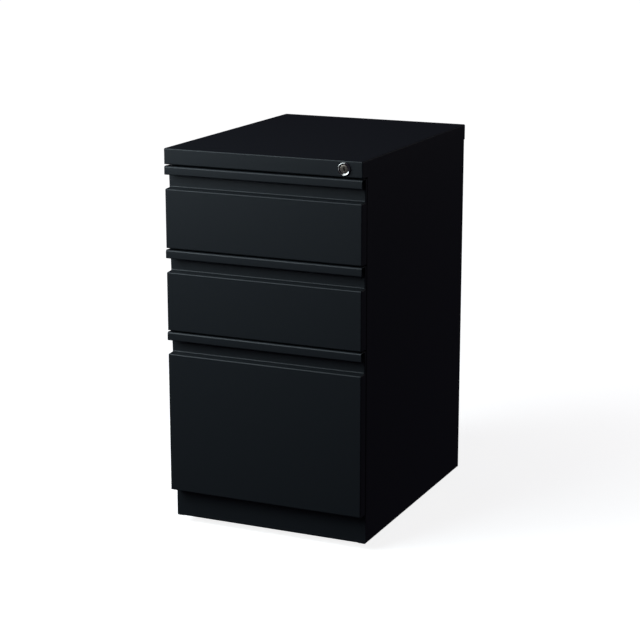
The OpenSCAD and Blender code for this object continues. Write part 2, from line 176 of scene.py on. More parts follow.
def pick(obj, kind, test):
    """Enters edit mode with only the faces, edges or vertices that pass the test selected.

    The test gets the middle of each, and a face's normal or an edge's direction.
    """
    if bpy.context.mode == "OBJECT":
        only(obj)
        bpy.ops.object.mode_set(mode="EDIT")
    bpy.ops.mesh.select_mode(type=kind)
    bpy.ops.mesh.select_all(action="DESELECT")
    mesh = bmesh.from_edit_mesh(obj.data)
    if kind == "FACE":
        found = [f for f in mesh.faces if test(f.calc_center_median(), f.normal)]
    elif kind == "EDGE":
        found = [e for e in mesh.edges if test((e.verts[0].co + e.verts[1].co) / 2, direction(e))]
    else:
        found = [v for v in mesh.verts if test(v.co, v.normal)]
    if not found:
        raise RuntimeError(f"{obj.name}: nothing was found to work on")
    for part in found:
        part.select_set(True)
    bmesh.update_edit_mesh(obj.data)


def direction(edge):
    """The way that an edge runs."""
    return (edge.verts[1].co - edge.verts[0].co).normalized()


def near(a, b):
    """Whether two places along one axis are the same."""
    return abs(a - b) < HAIR


def along(way, axis):
    """Whether an edge runs along X, Y or Z."""
    return abs(way["XYZ".index(axis)]) > 0.99


def extrude(x=0.0, y=0.0, z=0.0):
    """Folds the selected edges out by one more wall."""
    bpy.ops.mesh.extrude_edges_move(TRANSFORM_OT_translate={"value": (x, y, z)})


def bevel(width, segments=4):
    """Rounds the selected edges."""
    bpy.ops.mesh.bevel(offset=width, segments=segments, profile=0.5, affect="EDGES", clamp_overlap=True)


def close_up(obj, facing):
    """Merges the doubles of an open shell and turns its outer side along an axis such as (0, -1, 0)."""
    bpy.ops.mesh.select_all(action="SELECT")
    bpy.ops.mesh.remove_doubles(threshold=HAIR / 10)
    bpy.ops.mesh.normals_make_consistent(inside=False)
    mesh = bmesh.from_edit_mesh(obj.data)
    total = sum((f.normal * f.calc_area() for f in mesh.faces), Vector())
    if total.dot(Vector(facing)) < 0:
        bpy.ops.mesh.flip_normals()
    bpy.ops.object.mode_set(mode="OBJECT")


def modify(obj, kind, **values):
    """Adds a modifier with its values and applies it."""
    only(obj)
    modifier = obj.modifiers.new(kind.title(), kind)
    for key, value in values.items():
        setattr(modifier, key, value)
    bpy.ops.object.modifier_apply(modifier=modifier.name)


def thicken(obj, thickness):
    """Gives a folded shell its sheet thickness, inwards from its outer side."""
    modify(obj, "SOLIDIFY", thickness=thickness, offset=-1, use_even_offset=True, use_rim=True)


def smooth(obj, cut_edge=0.0):
    """Breaks the cut edges and shades the bends smooth and the walls flat."""
    if cut_edge:
        modify(
            obj, "BEVEL", width=cut_edge, segments=2, limit_method="ANGLE", angle_limit=math.radians(60),
            use_clamp_overlap=False, miter_outer="MITER_ARC",
        )
    only(obj)
    bpy.ops.object.shade_smooth_by_angle(angle=math.radians(35))
    modify(obj, "WEIGHTED_NORMAL", keep_sharp=True, weight=50)


def cut(obj, cutter):
    """Cuts one object's shape out of another and deletes the cutter."""
    modify(obj, "BOOLEAN", operation="DIFFERENCE", solver="EXACT", object=cutter)
    only(cutter)
    bpy.ops.object.delete()


def add_rod(name, low_y, high_y, x, z, radius, sides=64):
    """A round bar from front to back."""
    clear_selection()
    bpy.ops.mesh.primitive_cylinder_add(
        vertices=sides, radius=radius, depth=high_y - low_y,
        location=(x, (low_y + high_y) / 2, z), rotation=(math.pi / 2, 0, 0),
    )
    return settle(name)


def spin_outline(name, outline, centre, axis, steps=96):
    """Turns a closed outline of (distance along the axis, radius) points round an axis, X or Y."""
    clear_selection()
    along_axis = Vector((1, 0, 0)) if axis == "X" else Vector((0, 1, 0))
    out = Vector((0, 0, 1))
    places = [Vector(centre) + along_axis * place + out * radius for place, radius in outline]
    bpy.ops.mesh.primitive_plane_add(size=HAIR, location=places[0])
    obj = settle(name)
    bpy.ops.object.mode_set(mode="EDIT")
    bpy.ops.mesh.select_mode(type="VERT")
    bpy.ops.mesh.select_all(action="SELECT")
    bpy.ops.mesh.merge(type="CENTER")
    for start, end in zip(places, places[1:] + places[:1]):
        bpy.ops.mesh.extrude_region_move(TRANSFORM_OT_translate={"value": end - start})
    bpy.ops.mesh.select_all(action="SELECT")
    bpy.ops.mesh.remove_doubles(threshold=HAIR / 10)
    bpy.ops.mesh.spin(steps=steps, angle=2 * math.pi, center=centre, axis=along_axis)
    bpy.ops.mesh.select_all(action="SELECT")
    bpy.ops.mesh.remove_doubles(threshold=HAIR / 10)
    bpy.ops.mesh.normals_make_consistent(inside=False)
    bpy.ops.object.mode_set(mode="OBJECT")
    return obj


def install(obj, body, slot, material, *nodes):
    """Gives a finished piece its body, its finish and the nodes that it stands for."""
    clear_selection()
    obj.data.materials.clear()
    obj.data.materials.append(material)
    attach(obj, body)
    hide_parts(*nodes)


def dress(node, material, edge=0.0003, segments=2):
    """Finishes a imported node: joins its flats and rounds its edges, both live, and gives it its material."""
    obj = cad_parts[node]
    obj.data.materials.clear()
    obj.data.materials.append(material)
    weld = obj.modifiers.new("Weld", "WELD")
    weld.merge_threshold = HAIR / 10
    flats = obj.modifiers.new("Flats", "DECIMATE")
    flats.decimate_type = "DISSOLVE"
    flats.angle_limit = math.radians(1)
    if edge:
        rounding = obj.modifiers.new("Edges", "BEVEL")
        rounding.width = edge
        rounding.segments = segments
        rounding.limit_method = "ANGLE"
        rounding.angle_limit = math.radians(40)
        rounding.use_clamp_overlap = True


# ---- Materials ----


class Nodes:
    """A small writer of shader nodes for one tree."""

    def __init__(self, tree):
        self.tree = tree
        tree.nodes.clear()

    def add(self, kind, inputs=None, **values):
        """Adds a node, sets its properties, and sets or links its inputs."""
        made = self.tree.nodes.new("ShaderNode" + kind)
        for key, value in values.items():
            setattr(made, key, value)
        self.fill(made, inputs or {})
        return made

    def fill(self, made, inputs):
        """Sets or links a node's inputs."""
        for key, value in inputs.items():
            if isinstance(value, bpy.types.NodeSocket):
                self.tree.links.new(value, made.inputs[key])
            else:
                made.inputs[key].default_value = value

    def place(self):
        """The place on the object, in metres."""
        return self.add("TexCoord").outputs["Object"]

    def noise(self, place, scale, detail=2.0, roughness=0.5):
        """Noise over the place, 0 to 1."""
        values = {"Vector": place, "Scale": scale, "Detail": detail, "Roughness": roughness}
        return self.add("TexNoise", values).outputs["Fac"]

    def stretch(self, place, scale):
        """The place, scaled along each axis."""
        return self.add("Mapping", {"Vector": place, "Scale": scale}).outputs["Vector"]

    def span(self, value, low, high, start=0.0, end=1.0):
        """Maps a value from start..end to low..high, held within those."""
        values = {"Value": value, "From Min": start, "From Max": end, "To Min": low, "To Max": high}
        return self.add("MapRange", values).outputs["Result"]

    def math(self, operation, a, b):
        """One step of arithmetic."""
        return self.add("Math", {0: a, 1: b}, operation=operation).outputs[0]

    def blend(self, amount, a, b):
        """Mixes two colours."""
        return self.add("Mix", {"Factor": amount, 6: a, 7: b}, data_type="RGBA").outputs[2]

    def cloud(self, value, colour, dark, light):
        """A colour that wanders from darker to lighter with a slow noise."""
        return self.blend(self.span(value, 0.0, 1.0, 0.3, 0.7), shade(colour, dark), shade(colour, light))

    def bump(self, height, strength, distance):
        """The normal of a surface with that height, the distance in metres."""
        made = self.add("Bump", {"Height": height, "Strength": strength, "Distance": distance})
        return made.outputs["Normal"]

    def group(self, tree, inputs):
        """Places a node group with its values."""
        made = self.tree.nodes.new("ShaderNodeGroup")
        made.node_tree = tree
        self.fill(made, inputs)
        return made.outputs


def new_group(name, inputs, outputs):
    """An empty node group with its sockets, and the sockets of its two ends."""
    tree = bpy.data.node_groups.new(name, "ShaderNodeTree")
    writer = Nodes(tree)
    for label, kind, value in inputs:
        socket = tree.interface.new_socket(label, in_out="INPUT", socket_type=kind)
        if value is not None:
            socket.default_value = value
    for label, kind in outputs:
        tree.interface.new_socket(label, in_out="OUTPUT", socket_type=kind)
    start = tree.nodes.new("NodeGroupInput").outputs
    end = tree.nodes.new("NodeGroupOutput").inputs
    return tree, writer, start, end


def edge_wear():
    """Node group: a broken mask along the edges, where a finish is thin or rubbed."""
    if "Edge wear" in bpy.data.node_groups:
        return bpy.data.node_groups["Edge wear"]
    inputs = [
        ("Place", "NodeSocketVector", None),
        ("Width", "NodeSocketFloat", 0.001),
        ("Breaks", "NodeSocketFloat", 120.0),
        ("Amount", "NodeSocketFloat", 0.5),
    ]
    tree, w, start, end = new_group("Edge wear", inputs, [("Mask", "NodeSocketFloat")])
    rounded = w.add("Bevel", {"Radius": start["Width"]}, samples=4).outputs["Normal"]
    straight = w.add("NewGeometry").outputs["Normal"]
    facing = w.add("VectorMath", {0: rounded, 1: straight}, operation="DOT_PRODUCT").outputs["Value"]
    edge = w.span(facing, 1.0, 0.0, 0.86, 0.998)
    breaks = w.span(w.noise(start["Place"], start["Breaks"], 3.0), 0.35, 1.0, 0.35, 0.65)
    mask = w.math("MULTIPLY", w.math("MULTIPLY", edge, breaks), start["Amount"])
    tree.links.new(mask, end["Mask"])
    return tree


def fine_texture():
    """Node group: the fine flow texture of a sprayed or moulded skin, as a height, with a slow tone."""
    if "Fine texture" in bpy.data.node_groups:
        return bpy.data.node_groups["Fine texture"]
    inputs = [
        ("Place", "NodeSocketVector", None),
        ("Grain", "NodeSocketFloat", 900.0),
        ("Flow", "NodeSocketFloat", 220.0),
        ("Flow share", "NodeSocketFloat", 0.5),
        ("Clouds", "NodeSocketFloat", 5.0),
    ]
    outputs = [("Height", "NodeSocketFloat"), ("Tone", "NodeSocketFloat")]
    tree, w, start, end = new_group("Fine texture", inputs, outputs)
    grain = w.noise(start["Place"], start["Grain"], 2.0, 0.6)
    flow = w.noise(start["Place"], start["Flow"], 1.0, 0.4)
    flow_part = w.math("MULTIPLY", flow, start["Flow share"])
    grain_part = w.math("MULTIPLY", grain, w.math("SUBTRACT", 1.0, start["Flow share"]))
    tree.links.new(w.math("ADD", flow_part, grain_part), end["Height"])
    tree.links.new(w.noise(start["Place"], start["Clouds"], 4.0, 0.6), end["Tone"])
    return tree


def handling_marks():
    """Node group: faint rubbed patches and hair scratches, as a mask."""
    if "Handling marks" in bpy.data.node_groups:
        return bpy.data.node_groups["Handling marks"]
    inputs = [
        ("Place", "NodeSocketVector", None),
        ("Size", "NodeSocketFloat", 9.0),
        ("Amount", "NodeSocketFloat", 0.5),
    ]
    tree, w, start, end = new_group("Handling marks", inputs, [("Mask", "NodeSocketFloat")])
    patches = w.span(w.noise(start["Place"], start["Size"], 5.0, 0.65), 0.0, 1.0, 0.48, 0.72)
    long_way = w.stretch(start["Place"], (1.0, 26.0, 26.0))
    hairs = w.span(w.noise(long_way, 30.0, 2.0, 0.7), 0.0, 1.0, 0.66, 0.74)
    both = w.math("MAXIMUM", w.math("MULTIPLY", patches, 0.6), w.math("MULTIPLY", hairs, patches))
    tree.links.new(w.math("MULTIPLY", both, start["Amount"]), end["Mask"])
    return tree


def surface(name, build):
    """The material of that name, built on first use.

    The build gets a node writer and the colours, and returns the shader's inputs.
    """
    if name in bpy.data.materials:
        return bpy.data.materials[name]
    made = bpy.data.materials.new(name)
    made.use_nodes = True
    w = Nodes(made.node_tree)
    shader = w.add("BsdfPrincipled", build(w, bpy.context.scene.cabinet_colours))
    w.add("OutputMaterial", {"Surface": shader.outputs["BSDF"]})
    return made


def shade(colour, factor):
    """A colour made lighter or darker, with its alpha."""
    return tuple(channel * factor for channel in colour) + (1.0,)


def powder_coat():
    """Satin black powder coat: a fine flow texture, thinner over the bends."""

    def build(w, colours):
        place = w.place()
        skin = w.group(fine_texture(), {"Place": place, "Grain": 1500.0, "Flow": 420.0, "Clouds": 6.0})
        worn = w.group(edge_wear(), {"Place": place, "Width": 0.0012, "Amount": 0.35})["Mask"]
        rubbed = w.group(handling_marks(), {"Place": place, "Size": 7.0, "Amount": 0.35})["Mask"]
        tone = w.cloud(skin["Tone"], colours.coat, 0.85, 1.15)
        colour = w.blend(worn, tone, shade(colours.coat, 3.0))
        dull = w.span(skin["Height"], 0.40, 0.50, 0.35, 0.65)
        roughness = w.math("SUBTRACT", dull, w.math("MULTIPLY", rubbed, 0.06))
        normal = w.bump(skin["Height"], 0.35, 0.00006)
        return {"Base Color": colour, "Roughness": roughness, "Normal": normal, "IOR": 1.5}

    return surface("black_powder_coat", build)


def zinc_plate():
    """Zinc-plated steel with a rolled grain along its length."""

    def build(w, colours):
        place = w.place()
        rolled = w.noise(w.stretch(place, (60.0, 1.0, 60.0)), 18.0, 3.0, 0.6)
        clouds = w.noise(place, 25.0, 3.0, 0.6)
        worn = w.group(edge_wear(), {"Place": place, "Width": 0.0006, "Amount": 0.5})["Mask"]
        tone = w.cloud(clouds, colours.zinc, 0.82, 1.06)
        colour = w.blend(worn, tone, shade(colours.zinc, 1.3))
        roughness = w.span(w.math("ADD", rolled, clouds), 0.24, 0.44, 0.7, 1.3)
        normal = w.bump(rolled, 0.2, 0.00005)
        return {"Base Color": colour, "Metallic": 1.0, "Roughness": roughness, "Normal": normal}

    return surface("zinc_plate", build)


def lock_nickel():
    """Polished plate with fine rubbed patches and hair scratches."""

    def build(w, colours):
        place = w.place()
        marks = w.group(handling_marks(), {"Place": place, "Size": 160.0, "Amount": 0.8})["Mask"]
        clouds = w.noise(place, 220.0, 3.0, 0.6)
        tone = w.cloud(clouds, colours.nickel, 0.8, 1.05)
        roughness = w.math("ADD", w.span(clouds, 0.30, 0.42, 0.3, 0.7), w.math("MULTIPLY", marks, 0.1))
        normal = w.bump(clouds, 0.1, 0.00005)
        return {"Base Color": tone, "Metallic": 1.0, "Roughness": roughness, "Normal": normal}

    return surface("lock_nickel", build)


def lock_core():
    """The plug's dull brownish plate, rubbed bright round the key way."""

    def build(w, colours):
        place = w.place()
        worn = w.group(edge_wear(), {"Place": place, "Width": 0.0006, "Breaks": 900.0, "Amount": 0.9})["Mask"]
        clouds = w.noise(place, 350.0, 4.0, 0.65)
        tone = w.cloud(clouds, colours.core, 0.6, 1.15)
        colour = w.blend(worn, tone, shade(colours.nickel, 0.9))
        roughness = w.span(clouds, 0.28, 0.48, 0.3, 0.7)
        normal = w.bump(clouds, 0.3, 0.0001)
        return {"Base Color": colour, "Metallic": 1.0, "Roughness": roughness, "Normal": normal}

    return surface("lock_core", build)


def cast_iron():
    """A bare sand casting."""

    def build(w, colours):
        place = w.place()
        skin = w.group(fine_texture(), {"Place": place, "Grain": 700.0, "Flow": 160.0, "Clouds": 18.0})
        worn = w.group(edge_wear(), {"Place": place, "Width": 0.0015, "Amount": 0.8})["Mask"]
        tone = w.blend(skin["Tone"], shade(colours.iron, 0.6), shade(colours.iron, 1.5))
        colour = w.blend(worn, tone, shade(colours.iron, 3.5))
        roughness = w.span(skin["Height"], 0.55, 0.8, 0.35, 0.65)
        normal = w.bump(skin["Height"], 0.7, 0.0004)
        return {"Base Color": colour, "Metallic": 0.6, "Roughness": roughness, "Normal": normal}

    return surface("cast_iron", build)


def moulded(name, field, low, high):
    """A moulded black part: rubber or nylon, with a fine moulded skin."""

    def build(w, colours):
        place = w.place()
        base = getattr(colours, field)
        skin = w.group(fine_texture(), {"Place": place, "Grain": 1800.0, "Flow": 500.0, "Clouds": 30.0})
        worn = w.group(edge_wear(), {"Place": place, "Width": 0.0012, "Amount": 0.5})["Mask"]
        tone = w.cloud(skin["Tone"], base, 0.8, 1.3)
        colour = w.blend(worn, tone, shade(base, 2.2))
        roughness = w.span(skin["Height"], low, high, 0.35, 0.65)
        normal = w.bump(skin["Height"], 0.4, 0.0001)
        return {"Base Color": colour, "Roughness": roughness, "Normal": normal}

    return surface(name, build)


# ---- Case ----


class CABINET_OT_top_cap(bpy.types.Operator):
    """Fold the top cap: its skirt, the return flange under its front, and the lock's hole"""

    bl_idname = "cabinet.top_cap"
    bl_label = "Top cap"

    def execute(self, context):
        sizes = context.scene.cabinet_sizes
        return_depth = 0.020
        low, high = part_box("top_cap")
        cap = add_box("top_cap_shell", low, high)
        pick(cap, "FACE", lambda at, way: way.z < -0.9)
        bpy.ops.mesh.delete(type="FACE")
        pick(cap, "EDGE", lambda at, way: along(way, "X") and near(at.z, low.z) and near(at.y, low.y))
        extrude(y=return_depth)
        sides = lambda at, way: along(way, "Z") or near(at.z, high.z)
        front = lambda at, way: along(way, "X") and near(at.z, low.z) and near(at.y, low.y)
        pick(cap, "EDGE", lambda at, way: sides(at, way) or front(at, way))
        bevel(sizes.bend)
        close_up(cap, (0, 0, 1))
        thicken(cap, sizes.sheet)
        lock_low, lock_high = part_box("lock_housing")
        centre = (lock_low + lock_high) / 2
        cut(cap, add_rod("lock_hole", low.y - 0.01, low.y + 0.008, centre.x, centre.z, LOCK_HOLE_R))
        smooth(cap, sizes.cut_edge)
        install(cap, "case", "black_powder_coat", powder_coat(), "top_cap")
        return {"FINISHED"}


class CABINET_OT_side_panels(bpy.types.Operator):
    """Fold the two side panels with their four flanges"""

    bl_idname = "cabinet.side_panels"
    bl_label = "Side panels"

    def execute(self, context):
        sizes = context.scene.cabinet_sizes
        relief = 0.0006                     # the bend's end is torn free over this height
        for side, inner in (("left", 1), ("right", -1)):
            low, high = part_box(f"side_panel_{side}")
            opening_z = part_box("drawer_front_file")[0].z
            panel = add_box(f"side_panel_{side}_shell", low, high)
            pick(panel, "FACE", lambda at, way: way.x * inner > 0.9)
            bpy.ops.mesh.delete(type="FACE")
            pick(panel, "FACE", lambda at, way: way.x * inner < -0.9)
            bpy.ops.mesh.bisect(plane_co=(0, 0, opening_z - relief), plane_no=(0, 0, 1))
            pick(panel, "FACE", lambda at, way: way.y < -0.9)
            bpy.ops.mesh.bisect(plane_co=(0, 0, opening_z), plane_no=(0, 0, 1))
            pick(panel, "FACE", lambda at, way: way.y < -0.9 and at.z < opening_z)
            bpy.ops.mesh.delete(type="FACE")
            outer_x = low.x if inner > 0 else high.x
            cut_front = lambda at: near(at.y, low.y) and at.z < opening_z
            on_seam = lambda at: near(at.z, opening_z - relief)
            flat = lambda at: cut_front(at) or on_seam(at)
            pick(panel, "EDGE", lambda at, way: near(at.x, outer_x) and not flat(at))
            bevel(sizes.bend)
            close_up(panel, (-inner, 0, 0))
            thicken(panel, sizes.sheet)
            smooth(panel, sizes.cut_edge)
            install(panel, "case", "black_powder_coat", powder_coat(), f"side_panel_{side}")
        return {"FINISHED"}


class CABINET_OT_kick_plate(bpy.types.Operator):
    """Fold the kick plate that is set back under the file drawer"""

    bl_idname = "cabinet.kick_plate"
    bl_label = "Kick plate"

    def execute(self, context):
        sizes = context.scene.cabinet_sizes
        low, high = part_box("kick_plate")
        depth = high.y - low.y
        flange_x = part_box("side_panel_right")[0].x
        plate = add_wall("kick_plate_fold", low, (high.x, low.y, high.z), "-Y")
        pick(plate, "EDGE", lambda at, way: along(way, "X"))
        extrude(y=depth)
        for x in (-flange_x, flange_x):
            bpy.ops.mesh.select_all(action="SELECT")
            bpy.ops.mesh.bisect(plane_co=(x, 0, 0), plane_no=(1, 0, 0))
        pick(plate, "FACE", lambda at, way: near(at.z, low.z) and abs(at.x) > flange_x)
        bpy.ops.mesh.delete(type="FACE")
        pick(plate, "EDGE", lambda at, way: along(way, "X") and near(at.y, low.y))
        bevel(sizes.bend)
        close_up(plate, (0, -1, 0))
        thicken(plate, sizes.sheet)
        smooth(plate, sizes.cut_edge)
        install(plate, "case", "black_powder_coat", powder_coat(), "kick_plate")
        return {"FINISHED"}


class CABINET_OT_frame_parts(bpy.types.Operator):
    """Finish the parts inside the case: back, base pan, uprights, rails, weight, bolts and bumpers"""

    bl_idname = "cabinet.frame_parts"
    bl_label = "Frame parts"

    def execute(self, context):
        for node in ("back_panel", "base_pan", "front_cross_rails"):
            dress(node, powder_coat(), edge=0.0004)
        for node in ("front_uprights", "rear_uprights", "counterweight_bolts"):
            dress(node, zinc_plate(), edge=0.0004)
        dress("counterweight", cast_iron(), edge=0.0015, segments=3)
        dress("drawer_bumpers", moulded("rubber", "rubber", 0.6, 0.8), edge=0.0006, segments=3)
        return {"FINISHED"}


# ---- Drawers ----


class CABINET_OT_drawer_fronts(bpy.types.Operator):
    """Fold each drawer front: flat panel, ledge, finger recess and hemmed lip"""

    bl_idname = "cabinet.drawer_fronts"
    bl_label = "Drawer fronts"

    def execute(self, context):
        for drawer in DRAWERS:
            self.fold(drawer, context.scene.cabinet_sizes)
        return {"FINISHED"}

    def fold(self, drawer, sizes):
        """One front, folded from its flat panel outwards."""
        low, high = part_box(f"drawer_front_{drawer}")
        depth = high.y - low.y
        panel_top = high.z - sizes.pull
        recess_low = panel_top + sizes.ledge
        back_y = low.y + sizes.recess
        lip_low = high.z - sizes.lip
        front = add_wall(f"drawer_front_{drawer}_fold", low, (high.x, low.y, panel_top), "-Y")
        pick(front, "EDGE", lambda at, way: near(at.z, panel_top))
        extrude(y=sizes.recess, z=sizes.ledge)
        extrude(z=high.z - recess_low)
        extrude(y=-sizes.recess)
        extrude(z=-sizes.lip)
        extrude(y=sizes.hem)
        extrude(z=sizes.lip / 2)
        pick(front, "EDGE", lambda at, way: near(at.z, low.z))
        extrude(y=depth)
        pick(front, "EDGE", lambda at, way: along(way, "Z") and near(at.y, low.y) and at.z < panel_top)
        extrude(y=depth)
        pick(front, "EDGE", lambda at, way: along(way, "Z") and near(at.y, back_y))
        extrude(y=depth - sizes.recess)
        for x in (low.x, high.x):
            corners = lambda at, way: near(at.x, x) and panel_top - HAIR < at.z < recess_low + HAIR
            pick(front, "VERT", corners)
            bpy.ops.mesh.remove_doubles(threshold=HAIR / 10)
            bpy.ops.mesh.edge_face_add()
        bpy.ops.mesh.select_all(action="SELECT")
        bpy.ops.mesh.remove_doubles(threshold=HAIR / 10)
        on_side = lambda at, way: near(abs(at.x), high.x) and along(way, "Y") and at.y > low.y + HAIR
        flange_seam = lambda at, way: near(at.z, panel_top) or (near(at.z, recess_low) and at.y > back_y)
        pick(front, "EDGE", lambda at, way: on_side(at, way) and flange_seam(at, way))
        bpy.ops.mesh.dissolve_edges(use_verts=True)

        def is_bend(at, way):
            if along(way, "X"):
                panel_edges = near(at.y, low.y) and at.z < lip_low - HAIR
                recess_edges = near(at.y, back_y) and at.z > panel_top
                return panel_edges or recess_edges or (near(at.y, low.y) and near(at.z, high.z))
            if along(way, "Z"):
                return near(at.y, back_y) or (near(at.y, low.y) and at.z < panel_top)
            return low.y < at.y < back_y and panel_top + HAIR < at.z < recess_low - HAIR

        pick(front, "EDGE", is_bend)
        bevel(sizes.bend)
        pick(front, "EDGE", lambda at, way: along(way, "X") and near(at.z, lip_low))
        bevel(sizes.hem / 2 - HAIR / 2, segments=5)
        close_up(front, (0, -1, 0))
        thicken(front, sizes.sheet)
        smooth(front, sizes.cut_edge)
        install(front, f"drawer_{drawer}", "black_powder_coat", powder_coat(), f"drawer_front_{drawer}")


class CABINET_OT_drawer_bodies(bpy.types.Operator):
    """Fold the drawers' bodies and backs, and finish the inner fronts and the folder rails"""

    bl_idname = "cabinet.drawer_bodies"
    bl_label = "Drawer bodies"

    def execute(self, context):
        sizes = context.scene.cabinet_sizes
        for drawer in DRAWERS:
            self.fold_body(drawer, sizes)
            self.fold_back(drawer, sizes)
            dress(f"inner_front_{drawer}", powder_coat(), edge=0.0003)
        dress("hanging_rails", zinc_plate(), edge=0.0004, segments=3)
        return {"FINISHED"}

    def fold_body(self, drawer, sizes):
        """Bottom and sides from one sheet, the top edges rolled inwards."""
        low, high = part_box(f"drawer_body_{drawer}")
        roll, roll_lip = 0.005, 0.004
        body = add_wall(f"drawer_body_{drawer}_fold", low, (high.x, high.y, low.z), "-Z")
        pick(body, "EDGE", lambda at, way: along(way, "Y"))
        extrude(z=high.z - low.z)
        for side in (1, -1):
            edge_x = side * high.x
            pick(body, "EDGE", lambda at, way: along(way, "Y") and near(at.z, high.z) and near(at.x, edge_x))
            extrude(x=-side * roll)
            extrude(z=-roll_lip)
        pick(body, "EDGE", lambda at, way: along(way, "Y") and near(at.z, low.z))
        bevel(sizes.bend)
        pick(body, "EDGE", lambda at, way: along(way, "Y") and near(at.z, high.z))
        bevel(sizes.small_bend)
        close_up(body, (0, 0, -1))
        thicken(body, sizes.sheet)
        smooth(body, sizes.cut_edge)
        install(body, f"drawer_{drawer}", "black_powder_coat", powder_coat(), f"drawer_body_{drawer}")

    def fold_back(self, drawer, sizes):
        """The back, with its top edge folded forward."""
        low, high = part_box(f"drawer_back_{drawer}")
        fold = 0.008
        back = add_wall(f"drawer_back_{drawer}_fold", (low.x, high.y, low.z), high, "+Y")
        fold_x = high.x - fold
        for x in (-fold_x, fold_x):
            pick(back, "FACE", lambda at, way: True)
            bpy.ops.mesh.bisect(plane_co=(x, 0, 0), plane_no=(1, 0, 0))
        on_fold = lambda at: near(at.z, high.z) and abs(at.x) < fold_x
        pick(back, "EDGE", lambda at, way: on_fold(at))
        extrude(y=-fold)
        pick(back, "EDGE", lambda at, way: on_fold(at) and near(at.y, high.y))
        bevel(sizes.small_bend)
        close_up(back, (0, 1, 0))
        thicken(back, sizes.sheet)
        smooth(back, sizes.cut_edge)
        install(back, f"drawer_{drawer}", "black_powder_coat", powder_coat(), f"drawer_back_{drawer}")


class CABINET_OT_slides(bpy.types.Operator):
    """Finish the ball-bearing slides: case, middle and drawer members, and the ball cages"""

    bl_idname = "cabinet.slides"
    bl_label = "Slides"

    def execute(self, context):
        for drawer in DRAWERS:
            for member in ("case", "middle", "drawer"):
                dress(f"slide_{member}_members_{drawer}", zinc_plate(), edge=0.0005, segments=3)
            for cage in ("outer", "inner"):
                dress(f"{cage}_ball_cages_{drawer}", zinc_plate(), edge=0.0)
        return {"FINISHED"}


# ---- Lock ----


class CABINET_OT_lock(bpy.types.Operator):
    """Turn the lock's face ring and barrel, and its plug with the key way"""

    bl_idname = "cabinet.lock"
    bl_label = "Lock"

    def execute(self, context):
        low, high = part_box("lock_housing")
        centre = Vector(((low.x + high.x) / 2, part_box("top_cap")[0].y, (low.z + high.z) / 2))
        self.turn_housing(centre, high)
        self.turn_plug(centre)
        return {"FINISHED"}

    def turn_housing(self, centre, high):
        """A flanged barrel whose face is a dished ring with a rolled rim."""
        face_r = high.x - centre.x
        barrel_end = high.y - centre.y
        outline = [
            (0.0, BARREL_R), (0.0, face_r), (-0.0012, face_r), (-0.0022, face_r - 0.0003),
            (-0.0028, face_r - 0.0008), (-0.0030, face_r - 0.0014), (-0.0028, face_r - 0.0020),
            (-0.0022, face_r - 0.0024), (-0.0008, face_r - 0.0027), (-0.0004, face_r - 0.0033),
            (-0.0004, BORE_R), (barrel_end, BORE_R), (barrel_end, BARREL_R),
        ]
        housing = spin_outline("lock_housing_turned", outline, centre, "Y")
        smooth(housing)
        install(housing, "case", "lock_nickel", lock_nickel(), "lock_housing")

    def turn_plug(self, centre):
        """The plug, with a rounded face and a stepped key way."""
        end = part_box("lock_plug")[1].y - centre.y
        neck_r = 0.003
        neck_y = end - 0.002
        outline = [
            (-0.0012, 0.0), (-0.0012, PLUG_R - 0.0010), (-0.0009, PLUG_R - 0.0003), (-0.0004, PLUG_R),
            (neck_y, PLUG_R), (neck_y, neck_r), (end, neck_r), (end, 0.0),
        ]
        plug = spin_outline("lock_plug_turned", outline, centre, "Y")
        key_depth = 0.0145
        for width, bottom, top in ((0.0019, -0.0038, 0.0038), (0.0031, -0.0012, 0.0010)):
            key_low = centre + Vector((-width / 2, -0.003, bottom))
            key_high = centre + Vector((width / 2, key_depth, top))
            cut(plug, add_box("key_way", key_low, key_high))
        smooth(plug, 0.00012)
        install(plug, "lock_core", "lock_core", lock_core(), "lock_plug")


class CABINET_OT_lock_gear(bpy.types.Operator):
    """Finish the parts behind the lock: nut, cam, bar, guides and the drawers' catches"""

    bl_idname = "cabinet.lock_gear"
    bl_label = "Lock gear"

    def execute(self, context):
        for node in ("lock_nut", "lock_cam", "lock_bar", "lock_bar_guides"):
            dress(node, zinc_plate(), edge=0.0002)
        for drawer in DRAWERS:
            dress(f"lock_catch_{drawer}", zinc_plate(), edge=0.0002)
        return {"FINISHED"}


# ---- Casters ----


class CABINET_OT_casters(bpy.types.Operator):
    """Turn the caster wheels, and finish the plates, bolts and forks"""

    bl_idname = "cabinet.casters"
    bl_label = "Casters"

    def execute(self, context):
        half_section = [
            (0.0098, 0.00305), (0.0098, 0.0072), (0.0092, 0.0080), (0.0064, 0.0090), (0.0060, 0.0172),
            (0.0090, 0.0182), (0.0098, 0.0190), (0.0100, 0.0222), (0.0096, 0.0236), (0.0084, 0.0246),
            (0.0060, 0.0250),
        ]
        outline = half_section + [(-place, radius) for place, radius in reversed(half_section)]
        for corner in CORNERS:
            low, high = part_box(f"caster_wheel_{corner}")
            wheel = spin_outline(f"caster_wheel_{corner}_turned", outline, (low + high) / 2, "X")
            smooth(wheel)
            nylon = moulded("wheel_nylon", "nylon", 0.42, 0.6)
            install(wheel, f"wheel_{corner}", "wheel_nylon", nylon, f"caster_wheel_{corner}")
            dress(f"caster_fork_{corner}", zinc_plate(), edge=0.0005, segments=3)
        dress("caster_plates", zinc_plate(), edge=0.0004)
        dress("caster_bolts", zinc_plate(), edge=0.0003)
        return {"FINISHED"}


# ---- Stage ----


